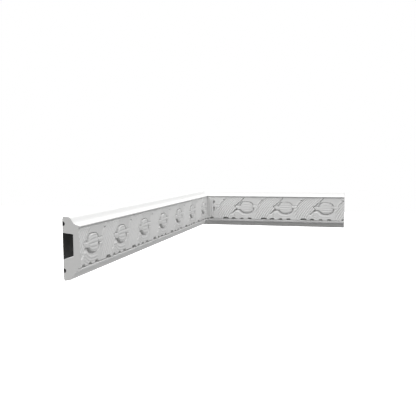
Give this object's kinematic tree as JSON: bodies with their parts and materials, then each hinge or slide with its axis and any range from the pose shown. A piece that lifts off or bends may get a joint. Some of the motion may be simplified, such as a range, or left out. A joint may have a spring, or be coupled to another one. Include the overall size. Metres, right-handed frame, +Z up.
{
  "type": "wall moulding",
  "caption": "White wall moulding with a carved band of buds and swirling leaves, mitred into an inside corner, with a recess and glue grooves along its back.",
  "frame": {"origin": "on the flat back of the right-hand length, at mid length, on the strip between its lower glue groove and its recess", "axes": "+Z up; +Y out of the right-hand length's back, into its wall; +X along that length, away from the corner; the left-hand length runs along -Y from the corner"},
  "size_m": [0.284, 0.5336, 0.07],
  "materials": {
    "primed_polymer": "white factory primer on a dense moulded foam, matt to satin"
  },
  "bodies": {
    "root": {"left_length": "primed_polymer", "right_length": "primed_polymer"}
  },
  "joints": []
}
